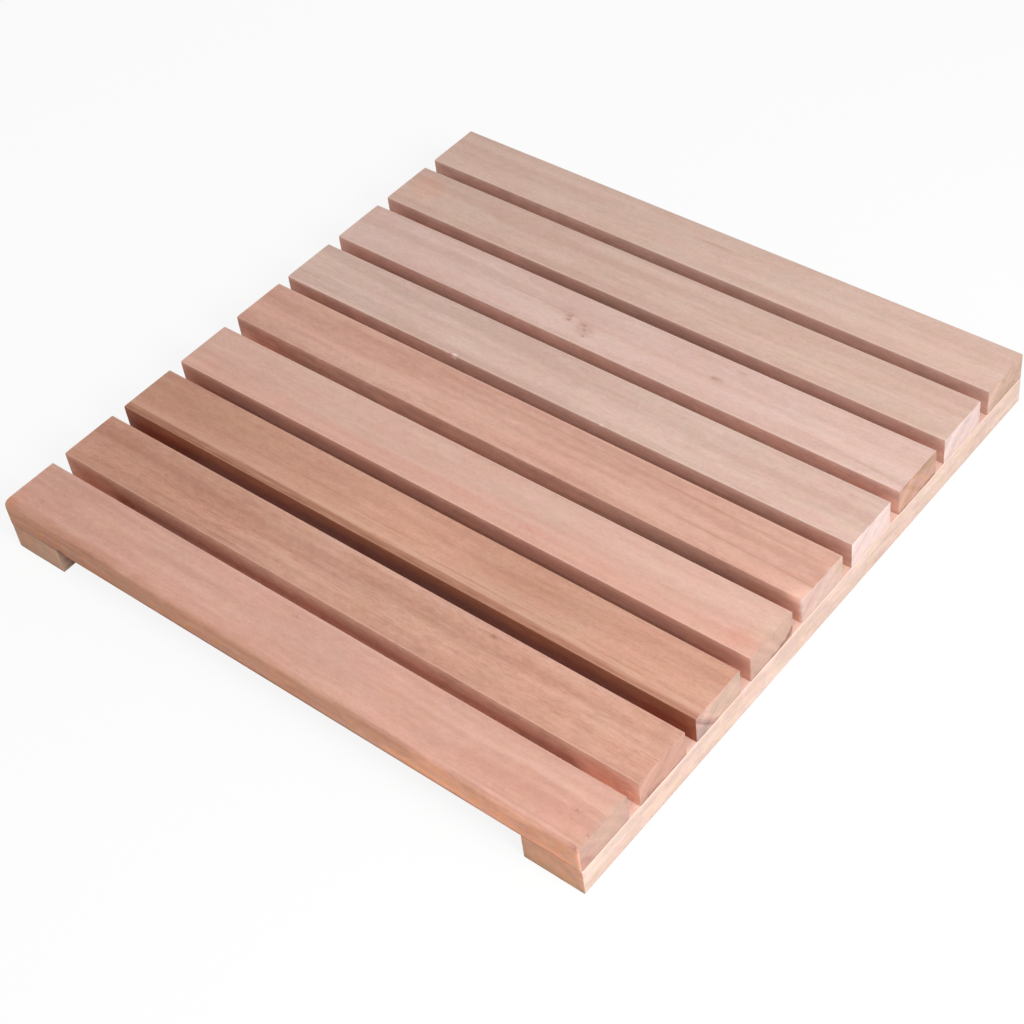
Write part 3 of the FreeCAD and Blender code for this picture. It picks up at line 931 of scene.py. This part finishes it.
class DECKTILE_OT_slats(bpy.types.Operator):
    """Adds the nine planed slats"""

    bl_idname = "deck_tile.add_slats"
    bl_label = "Add Slats"

    def execute(self, context):
        sizes = context.scene.deck_tile_boards
        for number in range(1, SLAT_COUNT + 1):
            node = "slat_%d" % number
            low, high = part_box(node)
            upper_front = (sizes.rounded_arris, 6) if number == 1 else (sizes.arris, 2)
            lower_back = WORN_BACK if number == WORN_BACK_SLAT else sizes.lower_arris
            arrises = [(0, 1, *upper_front), (1, 1, sizes.arris, 2),
                       (0, 0, sizes.lower_arris, 1), (1, 0, lower_back, 3)]
            corners = [(high.x, low.y)] if number in WORN_SLATS else []
            board = make_board(node, 0, arrises, corners)
            centre = (low + high) / 2
            turn = 0.0
            for x, y, depth, reach in KNOCKS.get(number, ()):
                knock(board, centre, high, x, y, depth, reach)
            if number == SKEWED_SLAT:
                turn_mesh(board, SKEW, (SKEW_PIVOT, centre.y, centre.z))
                turn = SKEW
            tone = getattr(context.scene.deck_tile_finish, WOODS[number])
            look = {**SLAT_LOOKS[number], "seed": number * SLAT_SEED}
            half = ((high - centre) / MM).yz
            dress(board, hardwood("Slat %d Hardwood" % number, tone, centre, turn, half, look))
            settle(board, "root", node)
        return {"FINISHED"}


class DECKTILE_OT_runners(bpy.types.Operator):
    """Adds the two runners with the staples' grooves beneath"""

    bl_idname = "deck_tile.add_runners"
    bl_label = "Add Runners"

    def execute(self, context):
        sizes = context.scene.deck_tile_boards
        for node in ("runner_left", "runner_right"):
            low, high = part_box(node)
            arrises = [(side, level, sizes.arris, 3) for side in (0, 1) for level in (0, 1)]
            board = make_board(node, 1, arrises)
            centre = (low + high) / 2
            self.cut_grooves(board, centre)
            half = ((high - centre) / MM).xz
            look = {**RUNNER_LOOK, **RUNNER_OWN_LOOKS[node], "seed": RUNNER_SEED + low.x}
            tone = context.scene.deck_tile_finish.runner
            name = node.replace("_", " ").title() + " Hardwood"
            dress(board, hardwood(name, tone, centre, math.pi / 2, half, look))
            settle(board, "root", node)
        return {"FINISHED"}

    def cut_grooves(self, board, centre):
        """Cuts the grooves that the crowns of the staples sit in."""
        cutters = []
        size = Vector((CROWN_WIDTH + GROOVE_PLAY, WIRE_WIDTH + GROOVE_PLAY, 2 * CROWN_TOP))
        for x, y in staple_places():
            if (x > 0) != (centre.x > 0):
                continue
            spot = Vector((x, y, 0))
            cutter = add_block("groove", spot - size / 2, spot + size / 2)
            turn_mesh(cutter, STAPLE_TURN, spot)
            cutters.append(cutter)
        cutters = join(cutters)
        take(board)
        grooves = board.modifiers.new("Grooves", "BOOLEAN")
        grooves.object = cutters
        grooves.solver = "EXACT"
        bpy.ops.object.modifier_apply(modifier=grooves.name)
        bpy.data.objects.remove(cutters)


def staple_places():
    """The middle of each crown: two at every crossing, side by side."""
    places = []
    for node in ("runner_left", "runner_right"):
        low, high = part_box(node)
        x = (low.x + high.x) / 2
        for number in range(1, SLAT_COUNT + 1):
            low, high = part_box("slat_%d" % number)
            y = (low.y + high.y) / 2
            for side in (-1, 1):
                shift = side * PAIR_SPREAD
                places.append(
                    (x - shift * math.sin(STAPLE_TURN), y + shift * math.cos(STAPLE_TURN)))
    return places


class DECKTILE_OT_staples(bpy.types.Operator):
    """Adds the staples, two at every crossing, driven from beneath"""

    bl_idname = "deck_tile.add_staples"
    bl_label = "Add Staples"

    def execute(self, context):
        first = self.make_staple()
        copies = []
        for x, y in staple_places():
            copy = first.copy()
            copy.data = first.data.copy()
            context.collection.objects.link(copy)
            copy.location = (x, y, 0)
            copy.rotation_euler = (0, 0, STAPLE_TURN)
            copies.append(copy)
        bpy.data.objects.remove(first)
        staples = join(copies)
        staples.name = staples.data.name = "staple_wires"
        bpy.ops.object.transform_apply(location=True, rotation=True, scale=True)
        dress(staples, galvanised(context.scene.deck_tile_finish.wire))
        settle(staples, "root", "staples")
        return {"FINISHED"}

    def make_staple(self):
        """One staple of flat wire, its crown down and its points up."""
        half = CROWN_WIDTH / 2
        low = Vector((-half, -WIRE_WIDTH / 2, CROWN_SINK))
        high = Vector((-half + WIRE_THICKNESS, WIRE_WIDTH / 2, CROWN_TOP))
        staple = add_block("staple", low, high)
        edit(staple, "FACE")
        for step in (CROWN_WIDTH - 2 * WIRE_THICKNESS, WIRE_THICKNESS):
            self.pull(staple, lambda face: face.normal.x > 0.9, (step, 0, 0))
        legs = LEG_LENGTH - WIRE_THICKNESS - POINT_LENGTH
        for sign in (-1, 1):
            def on_leg(face):
                x = face.calc_center_median().x * sign
                return face.normal.z > 0.9 and x > half - WIRE_THICKNESS
            self.pull(staple, on_leg, (0, 0, legs))
            self.pull(staple, on_leg, (0, 0, POINT_LENGTH))
            bpy.ops.transform.resize(value=(POINT_TAPER, 1.0, 1.0), center_override=(
                sign * (half - WIRE_THICKNESS * 0.2), 0, 0))
        bpy.ops.mesh.select_mode(type="EDGE")
        pick(staple, "edges", lambda edge: runs_along(edge, 1) and close(middle(edge).z, CROWN_SINK)
             and close(abs(middle(edge).x), half))
        bpy.ops.mesh.bevel(offset=CROWN_BEND, segments=3, affect="EDGES")
        pick(staple, "edges", lambda edge: len(edge.link_faces) == 2
             and edge.calc_face_angle() > math.radians(50) and not runs_along(edge, 1))
        bpy.ops.mesh.bevel(offset=WIRE_EDGE, segments=1, affect="EDGES")
        bpy.ops.object.mode_set(mode="OBJECT")
        return staple

    def pull(self, piece, wanted, move):
        """Extrudes the faces that pass the test."""
        if not pick(piece, "faces", wanted):
            raise RuntimeError("the staple has no such face")
        bpy.ops.mesh.extrude_region_move(TRANSFORM_OT_translate={"value": move})


class DECKTILE_OT_stage(bpy.types.Operator):
    """Adds the floor, the light and the camera"""

    bl_idname = "deck_tile.add_stage"
    bl_label = "Add Stage"

    def execute(self, context):
        stage = context.scene.deck_tile_stage
        clear_selection()
        bpy.ops.mesh.primitive_plane_add(size=stage.floor_size, location=(0, 0, -FLOOR_DROP))
        floor = context.object
        floor.name = "floor"
        dress(floor, self.floor_finish(stage.floor_colour))
        self.add_lamp(stage.key_power)
        self.light_world(context.scene, stage.sky)
        self.add_camera(context.scene, stage.lens)
        context.scene.view_settings.view_transform = "Standard"
        return {"FINISHED"}

    def floor_finish(self, tone):
        """A pale floor that shows near white and keeps a soft shadow."""
        floor = Finish(bpy.data.materials.new("Pale Floor"))
        seen = self.seen_directly(floor)
        matt = floor.node("BsdfDiffuse", {}, {"Color": rgba(tone)})
        glow = floor.node("Emission", {}, {"Color": (1, 1, 1, 1), "Strength": 1.0})
        return floor.end(floor.node("MixShader", {}, {0: seen * FLOOR_GLOW, 1: matt, 2: glow}))

    def seen_directly(self, finish):
        """1 for what the camera sees, also in and through gloss."""
        path = finish.outputs("LightPath")
        return path["Is Camera Ray"].most(path["Is Glossy Ray"]).most(path["Is Transmission Ray"])

    def add_lamp(self, power):
        """A large square lamp that points at the tile."""
        clear_selection()
        aim = (Vector(LAMP_TARGET) - Vector(LAMP_PLACE)).to_track_quat("-Z", "Y").to_euler()
        bpy.ops.object.light_add(type="AREA", location=LAMP_PLACE, rotation=aim)
        lamp = bpy.context.object
        lamp.name = "key"
        lamp.data.energy = power
        lamp.data.size = LAMP_SIZE
        lamp.visible_camera = False

    def light_world(self, scene, strength):
        """Even white light from all round, which shows as white."""
        sky = Finish(bpy.data.worlds.new("Soft Sky"))
        seen = self.seen_directly(sky)
        glow = sky.node("Background", {}, {
            "Color": (1, 1, 1, 1), "Strength": seen * (1 - strength) + strength})
        scene.world = sky.end(glow, "OutputWorld")

    def add_camera(self, scene, lens):
        """The camera, at the angle from which the tile is looked at."""
        clear_selection()
        turn = [math.radians(angle) for angle in CAMERA_TURN]
        bpy.ops.object.camera_add(location=CAMERA_PLACE, rotation=turn)
        camera = bpy.context.object
        camera.data.lens = lens
        camera.data.sensor_width = SENSOR_WIDTH
        camera.data.shift_x, camera.data.shift_y = CAMERA_SHIFT
        scene.camera = camera


class DECKTILE_PT_panel(bpy.types.Panel):
    """Lists the settings and the pieces of the deck tile"""

    bl_idname = "DECKTILE_PT_panel"
    bl_label = "Deck Tile"
    bl_space_type = "VIEW_3D"
    bl_region_type = "UI"
    bl_category = "Deck Tile"

    def draw(self, context):
        for group in (context.scene.deck_tile_boards, context.scene.deck_tile_finish,
                      context.scene.deck_tile_stage):
            box = self.layout.box()
            for key in group.__annotations__:
                box.prop(group, key)
        for operator in OPERATORS:
            self.layout.operator(operator.bl_idname)


OPERATORS = (DECKTILE_OT_slats, DECKTILE_OT_runners, DECKTILE_OT_staples, DECKTILE_OT_stage)
GROUPS = {"deck_tile_boards": DeckTileBoards, "deck_tile_finish": DeckTileFinish,
          "deck_tile_stage": DeckTileStage}
CLASSES = (*GROUPS.values(), *OPERATORS, DECKTILE_PT_panel)


def register():
    for one in CLASSES:
        bpy.utils.register_class(one)
    for name, group in GROUPS.items():
        setattr(bpy.types.Scene, name, bpy.props.PointerProperty(type=group))


def unregister():
    for name in GROUPS:
        delattr(bpy.types.Scene, name)
    for one in reversed(CLASSES):
        bpy.utils.unregister_class(one)


def main():
    register()
    bpy.ops.deck_tile.add_slats()
    bpy.ops.deck_tile.add_runners()
    bpy.ops.deck_tile.add_staples()
    bpy.ops.deck_tile.add_stage()


if __name__ == "__main__":
    main()
